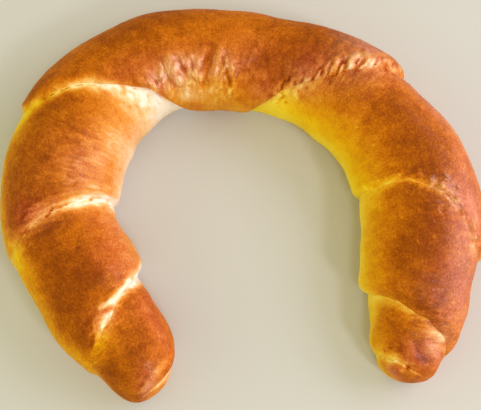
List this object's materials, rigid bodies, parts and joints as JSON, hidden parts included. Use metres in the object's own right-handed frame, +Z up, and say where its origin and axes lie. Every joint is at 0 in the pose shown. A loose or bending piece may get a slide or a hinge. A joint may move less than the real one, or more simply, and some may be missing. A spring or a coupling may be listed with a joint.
{
  "type": "croissant",
  "caption": "Horseshoe-shaped crescent roll of soft golden-brown dough, wound in overlapping laps that step down towards both tips, lying flat.",
  "frame": {"origin": "middle of the roll's outline box on the surface it lies on", "axes": "+X across both arms, +Y from the open end to the crown, +Z up"},
  "size_m": [0.1641, 0.1357, 0.0314],
  "materials": {
    "crust": "baked egg-washed crust, satin, golden brown with paler creases"
  },
  "bodies": {
    "root": {"croissant": "crust"}
  },
  "joints": []
}
